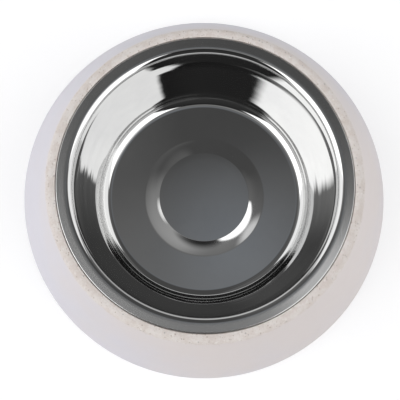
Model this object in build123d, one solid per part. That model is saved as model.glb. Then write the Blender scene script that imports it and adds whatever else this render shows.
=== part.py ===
from build123d import *
import os
from math import cos, radians, sin, tan

# A stainless dog bowl: a deep-drawn steel bowl hangs by its rolled rim in a flared moulded stand,
# which grips the ground with a rubber ring. Every piece is turned about the Z axis.
# Lengths are in millimetres and angles in degrees. +Z is up, and the origin is the middle of the
# foot, on the ground.

# Steel bowl. Bend radii are those of the polished inner face.
sheet = 0.6             # thickness of the drawn sheet
rim_radius = 80.0       # outermost edge of the rolled rim
bowl_depth = 52.5       # crest of the flange down to the lowest ring of the floor, inside
flange_width = 4.6      # crest of the flange out to where its edge starts to roll under
flange_tilt = 5.5       # slope of the flange
crest_bend = 14.0       # round-over from the crest on to the slope
hem_inside = 0.15       # radius inside the rolled edge
hem_leg = 2.4           # flat return of the rolled edge, which sits on the stand
throat_bend = 4.0       # round-over from the flange into the wall
throat_draft = 19.0     # lean of the wall away from the vertical where it leaves the throat
wall_curve = 100.0      # radius of the bend that steepens the wall below the throat
wall_draft = 13.5       # lean of the straight wall under that bend
corner_bend = 6.7       # round between the wall and the floor
floor_slope = 2.0       # rise of the floor towards the middle
step_bend = 12.0        # hollow bend from the floor into the step round the boss
step_start = 8.0        # slope of the step where that bend ends
step_curve = 75.0       # radius of the hollow curve that carries the step up
step_slope = 14.0       # slope of the step where it meets the boss
boss_radius = 26.0      # nearly flat middle of the floor, pressed up
boss_edge_inside = 0.6  # radius under the crisp edge of the boss
boss_crown = 1.0        # slope of the domed boss at its edge

# Fits between the pieces.
under_clearance = 3.8   # ground to the underside of the bowl's floor
seat_clearance = 0.2    # rolled rim to the rebate round it
bore_clearance = 1.0    # bowl to the stand's bore
ring_clearance = 0.1    # rubber ring to each side of its groove

# Stand.
lip_rise = 0.35         # lip above the outer edge of the flange
lip_flat = 1.6          # level top ring round the steel rim
lip_round = 4.0         # shoulder from the lip into the outer wall
wall_flare = 21.2       # lean of the outer wall away from the vertical
stand_wall = 3.4        # thickness of the outer wall
deck = 3.2              # thickness under the seat
skirt_wall = 2.6        # thickness of the short collar round the bore
skirt_drop = 8.0        # length of the collar below the deck
foot_round = 6.0        # outer edge of the foot
groove_wall = 2.1       # foot on each side of the groove
groove_depth = 2.2      # groove for the rubber ring
groove_cover = 2.4      # thickness above the groove
edge_ease = 0.4         # broken edges
inner_round = 2.0       # inner corners

# Rubber ring.
ring_width = 3.2        # width of the section
ring_proud = 1.2        # height that stands out of the foot
ring_ease = 0.5         # broken edges of the section

# Heights and radii that follow from the sizes above.
hem_bend = hem_inside + sheet
boss_edge = boss_edge_inside + sheet
rim_height = under_clearance + sheet + bowl_depth
flange_run = (flange_width - crest_bend * sin(radians(flange_tilt))) / cos(radians(flange_tilt))
flange_drop = crest_bend * (1 - cos(radians(flange_tilt))) + flange_run * sin(radians(flange_tilt))
crest_radius = rim_radius - hem_bend * (1 - sin(radians(flange_tilt))) - flange_width
seat_height = rim_height - flange_drop - hem_bend * (1 + cos(radians(flange_tilt)))
lip_height = rim_height - flange_drop + lip_rise
seat_radius = rim_radius + seat_clearance
lip_corner = seat_radius + lip_flat + lip_round * tan(radians((90 - wall_flare) / 2))
bore_radius = crest_radius - throat_bend + sheet + bore_clearance
groove_roof = ring_proud + groove_depth


def bowl_skin(depth):
    """Half section of the sheet at a depth below its polished face, from the rolled edge to the axis."""
    crest = (crest_radius, rim_height - depth)
    crest_round = JernArc(crest, (1, 0), crest_bend - depth, -flange_tilt)
    flange = PolarLine(crest_round @ 1, flange_run, direction=crest_round % 1)
    hem = JernArc(flange @ 1, flange % 1, hem_bend - depth, flange_tilt - 180)
    leg = PolarLine(hem @ 1, hem_leg, direction=hem % 1)

    throat_drop = throat_bend * (1 - sin(radians(throat_draft)))
    shoulder_drop = wall_curve * (sin(radians(throat_draft)) - sin(radians(wall_draft)))
    corner_drop = corner_bend * (1 - sin(radians(wall_draft)))
    wall_length = (bowl_depth - throat_drop - shoulder_drop - corner_drop) / cos(radians(wall_draft))
    throat = JernArc(crest, (-1, 0), throat_bend - depth, 90 - throat_draft)
    shoulder = JernArc(throat @ 1, throat % 1, wall_curve - depth, throat_draft - wall_draft)
    wall = PolarLine(shoulder @ 1, wall_length, direction=shoulder % 1)
    corner = JernArc(wall @ 1, wall % 1, corner_bend + depth, wall_draft - 90 - floor_slope)

    foot_run = (step_bend + depth) * (sin(radians(step_start)) - sin(radians(floor_slope)))
    step_run = (step_curve + depth) * (sin(radians(step_slope)) - sin(radians(step_start)))
    edge_run = (boss_edge - depth) * (sin(radians(step_slope)) - sin(radians(boss_crown)))
    crown_bend = boss_radius / sin(radians(boss_crown)) - depth
    crown_run = crown_bend * sin(radians(boss_crown))
    floor_run = (corner @ 1).X - foot_run - step_run - edge_run - crown_run
    floor = PolarLine(corner @ 1, floor_run / cos(radians(floor_slope)), direction=corner % 1)
    foot = JernArc(floor @ 1, floor % 1, step_bend + depth, floor_slope - step_start)
    step = JernArc(foot @ 1, foot % 1, step_curve + depth, step_start - step_slope)
    edge = JernArc(step @ 1, step % 1, boss_edge - depth, step_slope - boss_crown)
    crown = JernArc(edge @ 1, edge % 1, crown_bend, boss_crown)
    return [leg, hem, flange, crest_round, throat, shoulder, wall, corner, floor, foot, step, edge, crown]


def turned(outline):
    """Solid of revolution about Z from a closed outline of edges drawn as (radius, height)."""
    return revolve(Plane.XZ * make_face(outline), Axis.Z)


def turned_from_corners(corners):
    """Solid of revolution from (radius, height, fillet) corners."""
    points = [(radius, height) for radius, height, fillet in corners]
    fillets = [fillet for radius, height, fillet in corners]
    return turned(FilletPolyline(*points, radius=fillets, close=True).edges())


def make_steel_bowl():
    """One drawn sheet: boss, floor, wall, flange and rolled rim."""
    polished = bowl_skin(0)
    underside = bowl_skin(sheet)
    cut_edge = Line(polished[0] @ 1, underside[0] @ 1)
    axis_line = Line(polished[-1] @ 1, underside[-1] @ 1)
    return turned([edge.edge() for edge in [*polished, *underside, cut_edge, axis_line]])


def outside_radius(height):
    """Radius of the stand's flared outer wall at a height, before its edges are rounded."""
    return lip_corner + (lip_height - height) * tan(radians(wall_flare))


def make_base_shell(groove_outer, groove_inner):
    """Hollow flared stand, open below, with a rebated seat for the rim and a groove under its foot."""
    deck_underside = seat_height - deck
    skirt_radius = bore_radius + skirt_wall
    skirt_bottom = deck_underside - skirt_drop
    land_inner = groove_inner - groove_wall
    land_top = groove_roof + groove_cover

    def inside_radius(height):
        return outside_radius(height) - stand_wall / cos(radians(wall_flare))

    return turned_from_corners([
        (bore_radius, seat_height, edge_ease),
        (seat_radius, seat_height, edge_ease),
        (seat_radius, lip_height, edge_ease),
        (lip_corner, lip_height, lip_round),
        (outside_radius(ring_proud), ring_proud, foot_round),
        (groove_outer, ring_proud, 0),
        (groove_outer, groove_roof, 0),
        (groove_inner, groove_roof, 0),
        (groove_inner, ring_proud, 0),
        (land_inner, ring_proud, edge_ease),
        (land_inner, land_top, edge_ease),
        (inside_radius(land_top), land_top, inner_round),
        (inside_radius(deck_underside), deck_underside, inner_round),
        (skirt_radius, deck_underside, inner_round),
        (skirt_radius, skirt_bottom, edge_ease),
        (bore_radius, skirt_bottom, edge_ease),
    ])


def make_anti_slip_ring(groove_outer, groove_inner):
    """Rubber ring pushed up to the roof of its groove, standing proud of the foot."""
    ring_outer = groove_outer - ring_clearance
    ring_inner = groove_inner + ring_clearance
    return turned_from_corners([
        (ring_inner, 0, ring_ease),
        (ring_outer, 0, ring_ease),
        (ring_outer, groove_roof, ring_ease),
        (ring_inner, groove_roof, ring_ease),
    ])


# The flat of the foot starts where its outer round ends, and the groove lies one wall inside that.
land_outer = outside_radius(ring_proud) - foot_round / tan(radians((90 - wall_flare) / 2))
groove_outer = land_outer - groove_wall
groove_inner = groove_outer - ring_width - 2 * ring_clearance

nodes = {
    "steel_bowl": make_steel_bowl(),
    "base_shell": make_base_shell(groove_outer, groove_inner),
    "anti_slip_ring": make_anti_slip_ring(groove_outer, groove_inner),
}

os.makedirs("parts", exist_ok=True)
for name, solid in nodes.items():
    export_step(solid, f"parts/{name}.step")
    box = solid.bounding_box()
    print(f"{name}: {solid.volume / 1000:.2f} cm3, {box.size.X:.2f} x {box.size.Y:.2f} x {box.size.Z:.2f} mm")
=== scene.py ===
from math import cos, pi, radians, sin, tan

import bmesh
import bpy
from mathutils import Matrix, Vector


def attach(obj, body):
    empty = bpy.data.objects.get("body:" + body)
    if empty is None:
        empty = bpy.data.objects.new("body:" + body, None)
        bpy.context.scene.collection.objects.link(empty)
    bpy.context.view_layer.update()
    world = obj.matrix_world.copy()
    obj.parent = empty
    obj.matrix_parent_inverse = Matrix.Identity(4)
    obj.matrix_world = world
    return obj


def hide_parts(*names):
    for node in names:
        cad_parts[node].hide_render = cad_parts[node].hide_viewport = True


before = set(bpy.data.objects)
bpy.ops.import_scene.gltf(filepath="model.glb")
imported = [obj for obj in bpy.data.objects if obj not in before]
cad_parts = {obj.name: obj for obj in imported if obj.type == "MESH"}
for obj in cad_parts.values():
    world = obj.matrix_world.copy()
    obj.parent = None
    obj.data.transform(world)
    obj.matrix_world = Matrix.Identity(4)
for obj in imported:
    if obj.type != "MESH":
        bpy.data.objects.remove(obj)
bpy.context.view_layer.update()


# Stand: a hollow flared ring moulded in off-white resin that is filled with ground plant fibre. Its
# wall keeps the smooth satin skin of the mould, tinted with painted warm light towards the right front
# and upwards. The level lip and its shoulder are sanded, so the warm filler and its brown, grey and
# pale fibre specks show there.
mm = 0.001                    # outlines are drawn in millimetres
sheet = 0.6                   # thickness of the steel bowl that hangs in the stand
rim_radius = 80.0             # outermost edge of its rolled rim
rim_height = 56.9             # crest of its flange above the ground
flange_width = 4.6            # that crest out to where the edge starts to roll under
flange_tilt = radians(5.5)    # slope of the flange
crest_bend = 14.0             # round-over from the crest on to the slope
hem_bend = 0.75               # round of the rolled edge
throat_bend = 4.0             # round-over from the flange into the bowl's wall
seat_clearance = 0.2          # rolled rim to the rebate round it
bore_clearance = 1.0          # bowl to the stand's bore
lip_rise = 0.35               # lip above the outer edge of the flange
lip_flat = 1.6                # level top ring round the rim
lip_round = 4.0               # shoulder from the lip into the outer wall
wall_flare = radians(21.2)    # lean of the outer wall away from the vertical
stand_wall = 3.4              # thickness of that wall
deck = 3.2                    # thickness under the seat
collar_wall = 2.6             # thickness of the short collar round the bore
collar_drop = 8.0             # length of the collar below the deck
foot_round = 6.0              # outer edge of the foot
ring_width = 3.2              # section of the rubber ring under the foot
ring_proud = 1.2              # height that the ring stands out of the foot
ring_clearance = 0.1          # ring to each side of its groove
groove_wall = 2.1             # foot on each side of the groove
groove_depth = 2.2            # groove for the ring
groove_cover = 2.4            # thickness above the groove
edge_ease = 0.4               # broken edges
inner_round = 2.0             # inner corners
stand_segments = 384          # flats round the axis

flange_run = (flange_width - crest_bend * sin(flange_tilt)) / cos(flange_tilt)
flange_drop = crest_bend * (1 - cos(flange_tilt)) + flange_run * sin(flange_tilt)
crest_radius = rim_radius - hem_bend * (1 - sin(flange_tilt)) - flange_width
seat_radius = rim_radius + seat_clearance
seat_height = rim_height - flange_drop - hem_bend * (1 + cos(flange_tilt))
deck_underside = seat_height - deck
lip_height = rim_height - flange_drop + lip_rise
lip_corner = seat_radius + lip_flat + lip_round * tan((pi / 2 - wall_flare) / 2)
bore_radius = crest_radius - throat_bend + sheet + bore_clearance
collar_radius = bore_radius + collar_wall
collar_bottom = deck_underside - collar_drop


def outside_radius(height):
    """Radius of the stand's flared outer wall at a height, before its edges are rounded."""
    return lip_corner + (lip_height - height) * tan(wall_flare)


def inside_radius(height):
    """Radius of the inner face of that wall at a height."""
    return outside_radius(height) - stand_wall / cos(wall_flare)


foot_radius = outside_radius(ring_proud)
groove_outer = foot_radius - foot_round / tan((pi / 2 - wall_flare) / 2) - groove_wall
groove_inner = groove_outer - ring_width - 2 * ring_clearance
groove_roof = ring_proud + groove_depth
land_inner = groove_inner - groove_wall
land_top = groove_roof + groove_cover
stand_corners = [
    # radius, height and fillet, from the bore up over the lip and round to the collar
    (bore_radius, seat_height, edge_ease),
    (seat_radius, seat_height, edge_ease),
    (seat_radius, lip_height, edge_ease),
    (lip_corner, lip_height, lip_round),
    (foot_radius, ring_proud, foot_round),
    (groove_outer, ring_proud, 0),
    (groove_outer, groove_roof, 0),
    (groove_inner, groove_roof, 0),
    (groove_inner, ring_proud, 0),
    (land_inner, ring_proud, edge_ease),
    (land_inner, land_top, edge_ease),
    (inside_radius(land_top), land_top, inner_round),
    (inside_radius(deck_underside), deck_underside, inner_round),
    (collar_radius, deck_underside, inner_round),
    (collar_radius, collar_bottom, edge_ease),
    (bore_radius, collar_bottom, edge_ease),
]

# Materials read places in metres.
# Skin colours: the lean from the cool one towards the warm one is painted warm light from the right
# front and from above; the clouds are the skin's own tone.
skin_cool = (0.642, 0.627, 0.684, 1)
skin_in_painted_warm_light = (0.684, 0.628, 0.616, 1)
painted_warm_light_toward = (0.85, -0.50, 2.2)
painted_warm_starts, painted_warm_ends = 0.05, 0.26
cloud_depth = 0.16
filler_dark = (0.648, 0.584, 0.546, 1)
filler_pale = (0.722, 0.676, 0.648, 1)
fine_mottle = 0.5
sanding_starts, sanding_ends = 0.0524, 0.0556
sanding_waver = 0.0044
fibres = [
    # colour, cells in a metre, reach in a cell, share of the cells that hold a speck, and strength
    ((0.800, 0.770, 0.740, 1), 480, 0.30, 0.16, 0.60),
    ((0.250, 0.165, 0.115, 1), 900, 0.34, 0.24, 0.50),
    ((0.270, 0.255, 0.260, 1), 620, 0.27, 0.15, 0.55),
]
specks_in_skin, specks_in_filler = 0.05, 0.98
skin_rough, sanded_rough, rough_waver = 0.40, 0.60, 0.16


def rounded_outline(corners):
    """Closed outline of (radius, height) points from corners with fillets, each fillet as an arc."""
    outline = []
    for place, (radius, height, fillet) in enumerate(corners):
        corner = Vector((radius, height))
        if not fillet:
            outline.append(corner)
            continue
        back = (Vector(corners[place - 1][:2]) - corner).normalized()
        ahead = (Vector(corners[(place + 1) % len(corners)][:2]) - corner).normalized()
        half_angle = back.angle(ahead) / 2
        centre = corner + (back + ahead).normalized() * fillet / sin(half_angle)
        first = corner + back * fillet / tan(half_angle) - centre
        last = corner + ahead * fillet / tan(half_angle) - centre
        sweep = first.angle_signed(last)
        steps = max(4, round(abs(sweep) / radians(6)))
        for step in range(steps + 1):
            outline.append(centre + Matrix.Rotation(-sweep * step / steps, 2) @ first)
    return outline


def turned_piece(name, outline, segments):
    """Object turned about the Z axis from a closed outline in millimetres."""
    points, faces = [], []
    for turn in range(segments):
        angle = 2 * pi * turn / segments
        for radius, height in outline:
            points.append((radius * cos(angle) * mm, radius * sin(angle) * mm, height * mm))
        here = turn * len(outline)
        after = (turn + 1) % segments * len(outline)
        for step in range(len(outline)):
            on = (step + 1) % len(outline)
            faces.append((here + step, after + step, after + on, here + on))
    mesh = bpy.data.meshes.new(name)
    mesh.from_pydata(points, [], faces)
    skin = bmesh.new()
    skin.from_mesh(mesh)
    bmesh.ops.remove_doubles(skin, verts=skin.verts, dist=1e-7)
    bmesh.ops.recalc_face_normals(skin, faces=skin.faces)
    skin.to_mesh(mesh)
    skin.free()
    mesh.shade_smooth()
    mesh.set_sharp_from_angle(angle=radians(35))
    piece = bpy.data.objects.new(name, mesh)
    bpy.context.scene.collection.objects.link(piece)
    return piece


def new_material(name):
    """Material with only a Principled shader and its output, then its node tree and that shader."""
    material = bpy.data.materials.new(name)
    material.use_nodes = True
    return material, material.node_tree, material.node_tree.nodes["Principled BSDF"]


def add_node(tree, kind, inputs=(), **settings):
    """New shader node. Each input takes a plain value or another node's output."""
    made = tree.nodes.new("ShaderNode" + kind)
    for setting, value in settings.items():
        setattr(made, setting, value)
    for socket, value in dict(inputs).items():
        if isinstance(value, bpy.types.NodeSocket):
            tree.links.new(value, made.inputs[socket])
        else:
            made.inputs[socket].default_value = value
    return made


def calc(tree, operation, first, second=0.0, third=0.0):
    """One arithmetic step on values. The third is what MULTIPLY_ADD adds."""
    return add_node(tree, "Math", {0: first, 1: second, 2: third}, operation=operation).outputs["Value"]


def vector_calc(tree, operation, first, second=(0, 0, 0)):
    """One step on vectors, which gives a length, a distance, a dot product or a vector."""
    made = add_node(tree, "VectorMath", {0: first, 1: second}, operation=operation)
    return made.outputs["Value" if operation in ("LENGTH", "DISTANCE", "DOT_PRODUCT") else "Vector"]


def noise(tree, vector, scale, detail, roughness=0.5):
    """Noise value at a place, about 0.3 to 0.7."""
    inputs = {"Vector": vector, "Scale": scale, "Detail": detail, "Roughness": roughness}
    return add_node(tree, "TexNoise", inputs).outputs["Fac"]


def ramp(tree, value, low, high, to_low=0.0, to_high=1.0):
    """Smooth step of a value from one level to another."""
    inputs = {"Value": value, "From Min": low, "From Max": high, "To Min": to_low, "To Max": to_high}
    return add_node(tree, "MapRange", inputs, interpolation_type="SMOOTHSTEP").outputs["Result"]


def blend(tree, share, base, top):
    """Colour that goes from base to top as the share goes from 0 to 1."""
    return add_node(tree, "Mix", {"Factor": share, 6: base, 7: top}, data_type="RGBA").outputs[2]


def bump(tree, height, strength, distance, under=None):
    """Normal of a surface that a height raises, on top of the bump under it."""
    inputs = {"Height": height, "Strength": strength, "Distance": distance}
    if under is not None:
        inputs["Normal"] = under
    return add_node(tree, "Bump", inputs).outputs["Normal"]


def specks(tree, vector, scale, reach, share):
    """Mask of small specks: the given share of the cells of a scatter holds one."""
    cells = add_node(tree, "TexVoronoi", {"Vector": vector, "Scale": scale, "Randomness": 1.0})
    picked = add_node(tree, "SeparateColor", {"Color": cells.outputs["Color"]}).outputs
    held = calc(tree, "LESS_THAN", picked["Red"], share)
    radius = calc(tree, "MULTIPLY_ADD", picked["Green"], reach, reach * 0.5)
    near = calc(tree, "DIVIDE", cells.outputs["Distance"], radius)
    return calc(tree, "MULTIPLY", held, ramp(tree, near, 1.0, 0.55))


moulding, tree, shader = new_material("speckled_moulding")
place = add_node(tree, "TexCoord").outputs["Object"]
height = add_node(tree, "SeparateXYZ", {"Vector": place}).outputs["Z"]
ragged = noise(tree, place, scale=300, detail=5.0, roughness=0.6)
waver = calc(tree, "MULTIPLY_ADD", ragged, sanding_waver, -sanding_waver / 2)
bare = ramp(tree, calc(tree, "ADD", height, waver), sanding_starts, sanding_ends)

# The skin is painted warmer towards the right front and upwards, which is painted warm light, and its
# tone varies in soft clouds. The bare filler is mottled.
painted_warm_light = vector_calc(tree, "DOT_PRODUCT", place, painted_warm_light_toward)
clouds_and_painted_warmth = calc(tree, "MULTIPLY_ADD", noise(tree, place, scale=38, detail=3.0), cloud_depth, painted_warm_light)
skin_colour = blend(tree, ramp(tree, clouds_and_painted_warmth, painted_warm_starts, painted_warm_ends), skin_cool, skin_in_painted_warm_light)
coarse = noise(tree, place, scale=170, detail=4.0, roughness=0.65)
mottle = calc(tree, "MULTIPLY_ADD", noise(tree, place, scale=1100, detail=2.0), fine_mottle, coarse)
filler_colour = blend(tree, ramp(tree, mottle, 0.58, 0.92), filler_dark, filler_pale)
colour = blend(tree, bare, skin_colour, filler_colour)

# Specks barely show through the skin, and nearly in full where it is sanded off.
showing = calc(tree, "MULTIPLY_ADD", bare, specks_in_filler - specks_in_skin, specks_in_skin)
for fibre_colour, cells, reach, share, strength in fibres:
    speck = calc(tree, "MULTIPLY", specks(tree, place, cells, reach, share), showing)
    colour = blend(tree, calc(tree, "MULTIPLY", speck, strength), colour, fibre_colour)
tree.links.new(colour, shader.inputs["Base Color"])

even_rough = ramp(tree, bare, 0, 1, skin_rough, sanded_rough)
rough = calc(tree, "MULTIPLY_ADD", noise(tree, place, scale=160, detail=4.0), rough_waver, even_rough)
tree.links.new(rough, shader.inputs["Roughness"])
peel = bump(tree, noise(tree, place, scale=330, detail=2.0), strength=0.25, distance=0.00006)
grit = calc(tree, "MULTIPLY", noise(tree, place, scale=2600, detail=3.0), bare)
tree.links.new(bump(tree, grit, strength=0.5, distance=0.00012, under=peel), shader.inputs["Normal"])
shader.inputs["Specular IOR Level"].default_value = 0.45

stand = turned_piece("flared_stand", rounded_outline(stand_corners), stand_segments)
stand.data.materials.append(moulding)
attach(stand, "stand")
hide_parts("base_shell")


# Rubber ring: a black rubber hoop of nearly square section, pushed into a groove under the foot so
# that the stand grips the ground. It stands a little proud of the foot.
ring_ease = 0.5               # broken edges of the section
ring_segments = 256           # flats round the axis
ring_outer = groove_outer - ring_clearance
ring_inner = groove_inner + ring_clearance
ring_corners = [
    (ring_inner, 0, ring_ease),
    (ring_outer, 0, ring_ease),
    (ring_outer, groove_roof, ring_ease),
    (ring_inner, groove_roof, ring_ease),
]
clean_rubber = (0.021, 0.021, 0.022, 1)
dusty_rubber = (0.055, 0.053, 0.051, 1)
clean_rubber_rough, dusty_rubber_rough = 0.62, 0.85

rubber, tree, shader = new_material("black_rubber")
place = add_node(tree, "TexCoord").outputs["Object"]
dust = ramp(tree, noise(tree, place, scale=240, detail=5.0, roughness=0.6), 0.50, 0.75)
tree.links.new(blend(tree, dust, clean_rubber, dusty_rubber), shader.inputs["Base Color"])
rough = ramp(tree, dust, 0, 1, clean_rubber_rough, dusty_rubber_rough)
tree.links.new(rough, shader.inputs["Roughness"])
grain = noise(tree, place, scale=1800, detail=3.0)
tree.links.new(bump(tree, grain, strength=0.4, distance=0.00008), shader.inputs["Normal"])

ring = turned_piece("rubber_ring", rounded_outline(ring_corners), ring_segments)
ring.data.materials.append(rubber)
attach(ring, "stand")
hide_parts("anti_slip_ring")


# Steel bowl: one stainless sheet, deep-drawn with a raised boss in its floor, and rolled under at
# the rim. It is polished on a spinning mandrel, which leaves hair lines round the axis, and the draw
# leaves its wall faintly wavy. It hangs loose in the stand by its rim.
bowl_depth = 52.5             # crest of the flange down to the lowest ring of the floor, inside
hem_leg = 2.4                 # flat return of the rolled edge, which sits on the stand
throat_draft = radians(19.0)  # lean of the wall away from the vertical where it leaves the throat
wall_curve = 100.0            # radius of the bend that steepens the wall below the throat
wall_draft = radians(13.5)    # lean of the straight wall under that bend
corner_bend = 6.7             # round between the wall and the floor
floor_slope = radians(2.0)    # rise of the floor towards the middle
step_bend = 12.0              # hollow bend from the floor into the step round the boss
step_start = radians(8.0)     # slope of the step where that bend ends
step_curve = 75.0             # radius of the hollow curve that carries the step up
step_slope = radians(14.0)    # slope of the step where it meets the boss
boss_radius = 26.0            # nearly flat middle of the floor, pressed up
boss_edge = 1.2               # round of the crisp edge of the boss
boss_crown = radians(1.0)     # slope of the domed boss at its edge
bowl_segments = 384           # flats round the axis

clean_steel = (0.580, 0.580, 0.577, 1)
smudged_steel = (0.548, 0.549, 0.549, 1)
clean_steel_rough, smudged_steel_rough = 0.025, 0.045
satin_starts, satin_ends, satin_rough = 0.0736, 0.0752, 0.16
hair_spread, hair_lines, hair_rough = 2.2, 1900, 0.02
wave_spread, wave_lines, wave_base = 1.0, 100, 0.2
waves_start, waves_full_low = 0.0602, 0.0618
waves_end, waves_full_high = 0.0712, 0.0700
calm_back, wavy_front, calm_share = 0.048, 0.018, 0.25


def traced(start, heading, moves):
    """Points along straight runs (length, 0) and bends (radius, turn), each tangent to the last."""
    points = [Vector(start)]
    for size, turn in moves:
        forward = Vector((cos(heading), sin(heading)))
        origin = points[-1]
        if turn:
            side = Vector((-forward.y, forward.x)) * (1 if turn > 0 else -1)
            centre = origin + side * size
            steps = max(6, round(abs(turn) / radians(3)))
            for step in range(1, steps + 1):
                points.append(centre + Matrix.Rotation(turn * step / steps, 2) @ (origin - centre))
            heading += turn
        else:
            # Points crowd at both ends of a run, so that smooth shading keeps it straight.
            for share in (0.01, 0.03, 0.1, 0.25, 0.5, 0.75, 0.9, 0.97, 0.99, 1):
                points.append(origin + forward * size * share)
    return points


def drawn_sheet(depth):
    """Half section of the sheet at a depth below its polished face, from its cut edge to the axis."""
    hem_height = rim_height - flange_drop - hem_bend * cos(flange_tilt)
    cut_edge = Vector((rim_radius - hem_bend - hem_leg, hem_height + depth - hem_bend))

    shoulder_drop = wall_curve * (sin(throat_draft) - sin(wall_draft))
    shoulder_run = wall_curve * (cos(wall_draft) - cos(throat_draft))
    bends_drop = throat_bend * (1 - sin(throat_draft)) + corner_bend * (1 - sin(wall_draft))
    wall = (bowl_depth - shoulder_drop - bends_drop) / cos(wall_draft)
    wall_end = crest_radius - throat_bend * cos(throat_draft) - shoulder_run - wall * sin(wall_draft)
    corner_run = (corner_bend + depth) * (cos(wall_draft) - sin(floor_slope))
    floor_edge = wall_end + depth * cos(wall_draft) - corner_run

    foot_run = (step_bend + depth) * (sin(step_start) - sin(floor_slope))
    step_run = (step_curve + depth) * (sin(step_slope) - sin(step_start))
    edge_run = (boss_edge - depth) * (sin(step_slope) - sin(boss_crown))
    crown_bend = boss_radius / sin(boss_crown) - depth
    crown_run = crown_bend * sin(boss_crown)
    floor = (floor_edge - foot_run - step_run - edge_run - crown_run) / cos(floor_slope)
    points = traced(cut_edge, 0, [
        (hem_leg, 0),
        (hem_bend - depth, pi - flange_tilt),
        (flange_run, 0),
        (crest_bend - depth, flange_tilt),
        (throat_bend - depth, pi / 2 - throat_draft),
        (wall_curve - depth, throat_draft - wall_draft),
        (wall, 0),
        (corner_bend + depth, wall_draft - pi / 2 - floor_slope),
        (floor, 0),
        (step_bend + depth, floor_slope - step_start),
        (step_curve + depth, step_start - step_slope),
        (boss_edge - depth, step_slope - boss_crown),
        (crown_bend, boss_crown),
    ])
    points[-1].x = 0
    return points


def ringed(tree, round_axis, spread, along, lines):
    """Noise that is stretched round the axis and packed into lines along a length."""
    stretched = vector_calc(tree, "MULTIPLY", round_axis, (spread, spread, 0))
    packed = add_node(tree, "CombineXYZ", {"Z": calc(tree, "MULTIPLY", along, lines)}).outputs["Vector"]
    return noise(tree, vector_calc(tree, "ADD", stretched, packed), scale=1.0, detail=1.0)


steel, tree, shader = new_material("polished_steel")
place = add_node(tree, "TexCoord").outputs["Object"]
axes = add_node(tree, "SeparateXYZ", {"Vector": place}).outputs
flat = vector_calc(tree, "MULTIPLY", place, (1, 1, 0))
radius = vector_calc(tree, "LENGTH", flat)
round_axis = vector_calc(tree, "NORMALIZE", flat)
hair = ringed(tree, round_axis, hair_spread, calc(tree, "SUBTRACT", radius, axes["Z"]), hair_lines)

# The bowl is bright inside, with faint smudges, and its flange is satin.
smudge = ramp(tree, noise(tree, place, scale=26, detail=4.0, roughness=0.6), 0.42, 0.70)
tree.links.new(blend(tree, smudge, clean_steel, smudged_steel), shader.inputs["Base Color"])
shader.inputs["Metallic"].default_value = 1.0
satin = ramp(tree, radius, satin_starts, satin_ends, 0.0, satin_rough)
even_rough = calc(tree, "ADD", satin, ramp(tree, smudge, 0, 1, clean_steel_rough, smudged_steel_rough))
tree.links.new(calc(tree, "MULTIPLY_ADD", hair, hair_rough, even_rough), shader.inputs["Roughness"])

# The waves of the draw lie level on the wall alone, and are fainter towards the back.
above_foot = ramp(tree, radius, waves_start, waves_full_low)
below_throat = ramp(tree, radius, waves_end, waves_full_high)
frontward = ramp(tree, axes["Y"], calm_back, wavy_front, calm_share, 1.0)
on_wall = calc(tree, "MULTIPLY", calc(tree, "MULTIPLY", above_foot, below_throat), frontward)
wave = ringed(tree, round_axis, wave_spread, axes["Z"], wave_lines)
draw_waves = calc(tree, "MULTIPLY", calc(tree, "SUBTRACT", wave, wave_base), on_wall)
uneven = bump(tree, noise(tree, place, scale=45, detail=1.0), strength=1.0, distance=0.00003)
drawn = bump(tree, draw_waves, strength=1.0, distance=0.00034, under=uneven)
tree.links.new(bump(tree, hair, strength=0.2, distance=0.000004, under=drawn), shader.inputs["Normal"])

bowl = turned_piece("steel_bowl_drawn", drawn_sheet(0) + drawn_sheet(sheet)[::-1], bowl_segments)
bowl.data.materials.append(steel)
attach(bowl, "bowl")
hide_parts("steel_bowl")


# Table: a sheet of white paper that is wide enough to fill the picture. It shows white to the camera
# and in the steel, keeps the shadow of the stand, and throws back light as plain paper does.
table_half = 4
lit_paper = (0.80, 0.80, 0.80, 1)
shaded_paper = (0.45, 0.45, 0.46, 1)
paper_glow = 0.62

table_mesh = bpy.data.meshes.new("table")
table_corners = [(x * table_half, y * table_half, 0) for x, y in ((-1, -1), (1, -1), (1, 1), (-1, 1))]
table_mesh.from_pydata(table_corners, [], [(0, 1, 2, 3)])
table = bpy.data.objects.new("table", table_mesh)
bpy.context.scene.collection.objects.link(table)

paper = bpy.data.materials.new("white_table")
paper.use_nodes = True
tree = paper.node_tree
tree.nodes.clear()
rays = add_node(tree, "LightPath").outputs
seen = calc(tree, "MAXIMUM", rays["Is Camera Ray"], rays["Is Glossy Ray"])
seen = calc(tree, "MAXIMUM", seen, rays["Is Transmission Ray"])
lit = add_node(tree, "BsdfDiffuse", {"Color": lit_paper}).outputs["BSDF"]
shaded = add_node(tree, "BsdfDiffuse", {"Color": shaded_paper}).outputs["BSDF"]
glow = add_node(tree, "Emission", {"Color": (1, 1, 1, 1), "Strength": paper_glow}).outputs["Emission"]
shown = add_node(tree, "AddShader", {0: shaded, 1: glow}).outputs["Shader"]
mixed = add_node(tree, "MixShader", {0: seen, 1: lit, 2: shown}).outputs["Shader"]
add_node(tree, "OutputMaterial", {"Surface": mixed})
table_mesh.materials.append(paper)


# Studio: a dim grey room with a pale horizon. A wide soft panel of light stands at each side, and a
# taller one at each front corner, with a dark flag between the two in front. Directions point from
# the object into the room: +X is right and -Y is the front.
room_lean = (0.14, -0.37, 0)
room_middle, room_darkest = 0.177, 0.092
overhead_at, overhead_level = (0.05, 0.085, 0), 0.11
overhead_tint = (0.93, 0.99, 1.07, 1)
low_level = 0.07
left_front, left_front_level = (-1, -0.8, 0), 0.22
high_left_level = 0.045
high_right_at, high_right_level = (0.275, -0.02, 0), 0.75
haze_lift = -0.35
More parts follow.
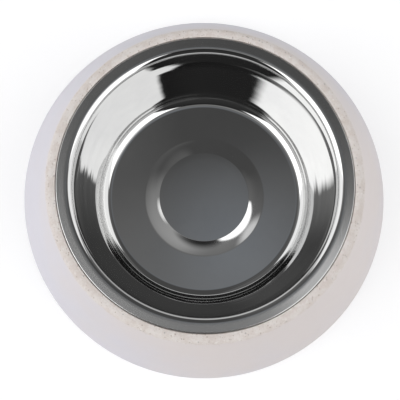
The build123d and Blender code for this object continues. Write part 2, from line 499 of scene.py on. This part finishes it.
# The level of the flag is the share of the room's light that it takes away.
flag = dict(azimuth=-90, elevation=44, half_width=0.75, half_height=0.56, soft=0.08, level=0.94)
panels = [
    dict(azimuth=-3, elevation=31, half_width=0.80, half_height=0.44, soft=0.06, level=1.36),
    dict(azimuth=183, elevation=31, half_width=0.80, half_height=0.44, soft=0.06, level=1.46),
    dict(azimuth=-27, elevation=39, half_width=0.35, half_height=0.60, soft=0.025, level=2.10, roll=-8),
    dict(azimuth=205.5, elevation=35, half_width=0.40, half_height=0.58, soft=0.06, level=2.62),
]


def panel(tree, toward, azimuth, elevation, half_width, half_height, soft, level, roll=0.0):
    """Flat soft-edged panel far away, in a direction in degrees, its half sizes as tangents."""
    turn, climb = radians(azimuth), radians(elevation)
    aim = Vector((cos(climb) * cos(turn), cos(climb) * sin(turn), sin(climb)))
    side = Vector((-sin(turn), cos(turn), 0))
    side.rotate(Matrix.Rotation(radians(roll), 3, aim))
    ahead = calc(tree, "MAXIMUM", vector_calc(tree, "DOT_PRODUCT", toward, aim), 0.01)
    inside = level
    for axis, half in ((side, half_width), (aim.cross(side), half_height)):
        off = calc(tree, "DIVIDE", vector_calc(tree, "DOT_PRODUCT", toward, axis), ahead)
        edge = ramp(tree, calc(tree, "ABSOLUTE", off), half + soft, half - soft)
        inside = calc(tree, "MULTIPLY", edge, inside)
    return inside


world = bpy.data.worlds.new("studio")
bpy.context.scene.world = world
world.use_nodes = True
tree = world.node_tree
tree.nodes.clear()
toward = add_node(tree, "TexCoord").outputs["Generated"]
axes = add_node(tree, "SeparateXYZ", {"Vector": toward}).outputs
flat = vector_calc(tree, "MULTIPLY", toward, (1, 1, 0))
outward = vector_calc(tree, "LENGTH", flat)

# The room is lighter towards the front and the right. Soft glows lie overhead, lower down except
# straight behind, at the left front, high at the left, and in a small patch high at the right.
leaning = vector_calc(tree, "DOT_PRODUCT", toward, room_lean)
room = calc(tree, "MAXIMUM", calc(tree, "ADD", leaning, room_middle), room_darkest)
overhead = ramp(tree, vector_calc(tree, "DISTANCE", flat, overhead_at), 0.21, 0.01)
lower_down = ramp(tree, outward, 0.42, 0.62, 0.0, low_level)
off_middle = calc(tree, "ABSOLUTE", calc(tree, "SUBTRACT", axes["X"], 0.10))
behind = calc(tree, "MULTIPLY", ramp(tree, axes["Y"], 0.25, 0.40), ramp(tree, off_middle, 0.34, 0.22))
to_left_front = vector_calc(tree, "DOT_PRODUCT", toward, left_front)
high_left = ramp(tree, axes["X"], -0.04, -0.14, 0.0, high_left_level)
from_high_right = vector_calc(tree, "DISTANCE", flat, high_right_at)
room_glows = [
    calc(tree, "MULTIPLY", overhead, overhead_level),
    calc(tree, "MULTIPLY", lower_down, calc(tree, "SUBTRACT", 1.0, behind)),
    ramp(tree, to_left_front, 0.06, 0.40, 0.0, left_front_level),
    calc(tree, "MULTIPLY", high_left, ramp(tree, outward, 0.50, 0.42)),
    ramp(tree, from_high_right, 0.13, 0.04, 0.0, high_right_level),
]
for room_glow in room_glows:
    room = calc(tree, "ADD", room, room_glow)

# The horizon reaches higher at the back, and is dimmer in front and towards the right.
raised = calc(tree, "MULTIPLY_ADD", calc(tree, "MAXIMUM", axes["Y"], 0.0), haze_lift, axes["Z"])
front_haze = ramp(tree, axes["Y"], -0.65, -0.95, to_low=1.0, to_high=0.45)
side_haze = ramp(tree, axes["X"], -1, 1, to_low=0.86, to_high=0.54)
haze = calc(tree, "MULTIPLY", front_haze, side_haze)
horizon = calc(tree, "MULTIPLY", ramp(tree, raised, 0.22, 0.12), haze)

flagged = calc(tree, "MULTIPLY", room, calc(tree, "SUBTRACT", 1.0, panel(tree, toward, **flag)))
light = calc(tree, "MAXIMUM", flagged, horizon)
for soft_panel in panels:
    light = calc(tree, "MAXIMUM", light, panel(tree, toward, **soft_panel))
tint = blend(tree, overhead, (1, 1, 1, 1), overhead_tint)
backdrop = add_node(tree, "Background", {"Color": tint, "Strength": light}).outputs["Background"]
add_node(tree, "OutputWorld", {"Surface": backdrop})


# Camera: a long lens about 0.6 m away, nearly straight above the bowl and a little in front of it.
# It is rolled slightly about its own axis.
eye = Vector((0, -0.09794, 0.64895))
aimed_at = Vector((-0.00208, -0.00957, 0.057))
camera_roll = radians(3.57)

lens = bpy.data.cameras.new("camera")
lens.lens = 101.43
lens.sensor_width = 36
lens.clip_start = 0.01
camera = bpy.data.objects.new("camera", lens)
facing = (aimed_at - eye).to_track_quat("-Z", "Y").to_matrix() @ Matrix.Rotation(camera_roll, 3, "Z")
camera.matrix_world = Matrix.Translation(eye) @ facing.to_4x4()
bpy.context.scene.collection.objects.link(camera)
bpy.context.scene.camera = camera
bpy.context.scene.view_settings.view_transform = "Standard"
